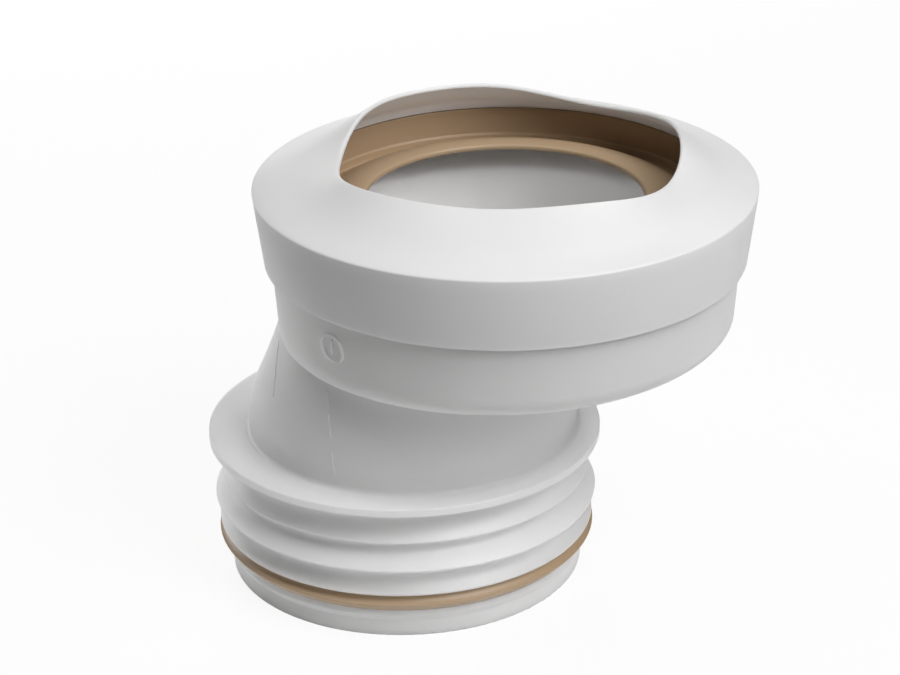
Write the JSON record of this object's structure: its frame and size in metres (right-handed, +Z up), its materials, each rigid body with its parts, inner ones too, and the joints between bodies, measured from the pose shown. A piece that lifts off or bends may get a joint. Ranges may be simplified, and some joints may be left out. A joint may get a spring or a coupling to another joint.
{
  "type": "offset pan connector",
  "caption": "Offset toilet pan connector: ribbed spigot with stop flange and ring seal, leaning neck, and a wide socket under a soft hood with a wavy mouth and a pan seal inside.",
  "frame": {"origin": "centre of the spigot's end face, on the spigot axis", "axes": "+Z up along the spigot axis towards the socket, +X the way the socket is stepped sideways"},
  "size_m": [0.1578, 0.1416, 0.1326],
  "materials": {
    "white_body": "satin moulded white polypropylene",
    "white_hood": "soft satin white moulding",
    "tan_seal": "satin tan elastomer"
  },
  "bodies": {
    "root": {"body": "white_body", "socket_hood": "white_hood", "pan_seal": "tan_seal", "spigot_seal": "tan_seal"}
  },
  "joints": []
}
